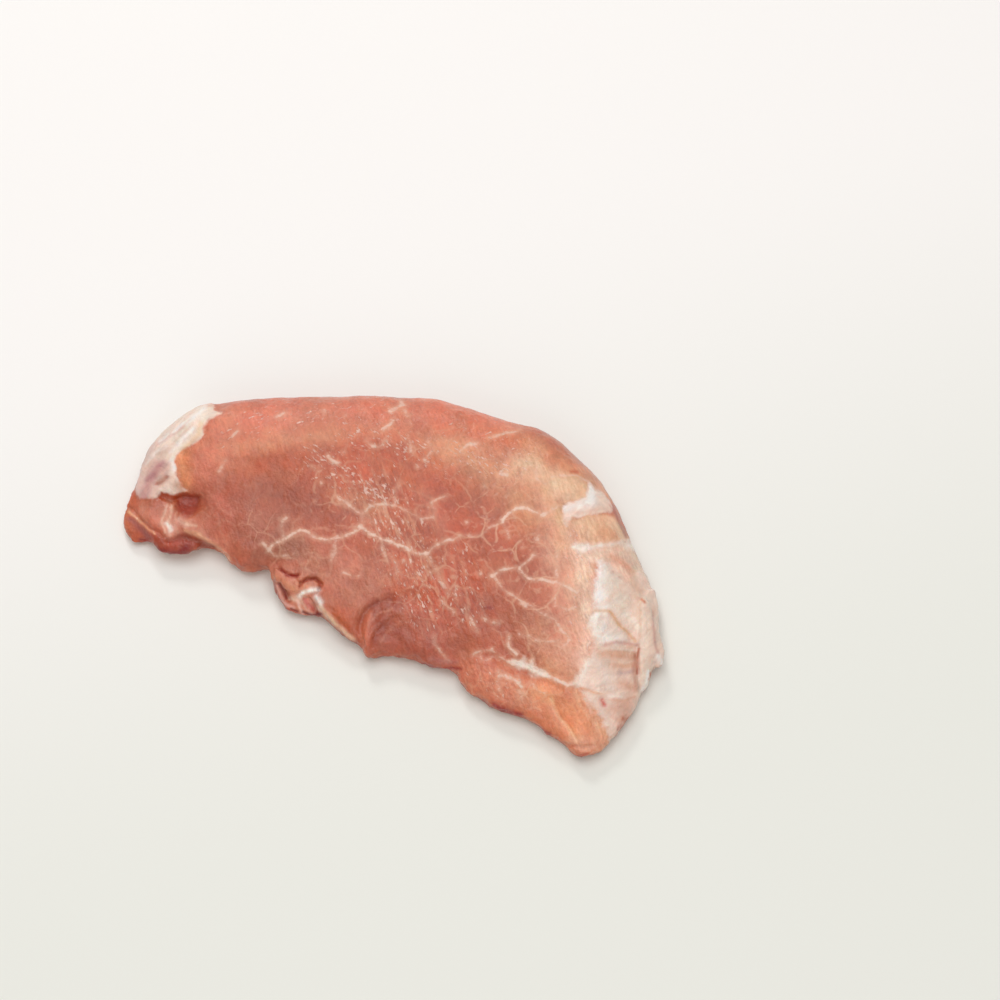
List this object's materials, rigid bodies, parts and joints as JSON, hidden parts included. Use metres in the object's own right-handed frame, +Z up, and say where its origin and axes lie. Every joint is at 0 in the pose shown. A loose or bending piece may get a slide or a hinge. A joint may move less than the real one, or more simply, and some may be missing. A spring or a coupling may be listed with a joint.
{
  "type": "pork schnitzel",
  "caption": "Raw pork schnitzel: one thick, half-moon slice of lean meat with a rounded back, a fat-covered sloping end and a torn front edge, lying flat on its cut side.",
  "frame": {"origin": "on the surface under the slice, at the middle of its length and width", "axes": "+X along the slice towards the sloping, fat-covered end; +Y towards the long arched edge; +Z up, out of the shown cut face"},
  "size_m": [0.1648, 0.0904, 0.0166],
  "materials": {
    "raw_pork": "moist, translucent pink-brown meat with pale fat veins"
  },
  "bodies": {
    "root": {"schnitzel": "raw_pork"}
  },
  "joints": []
}
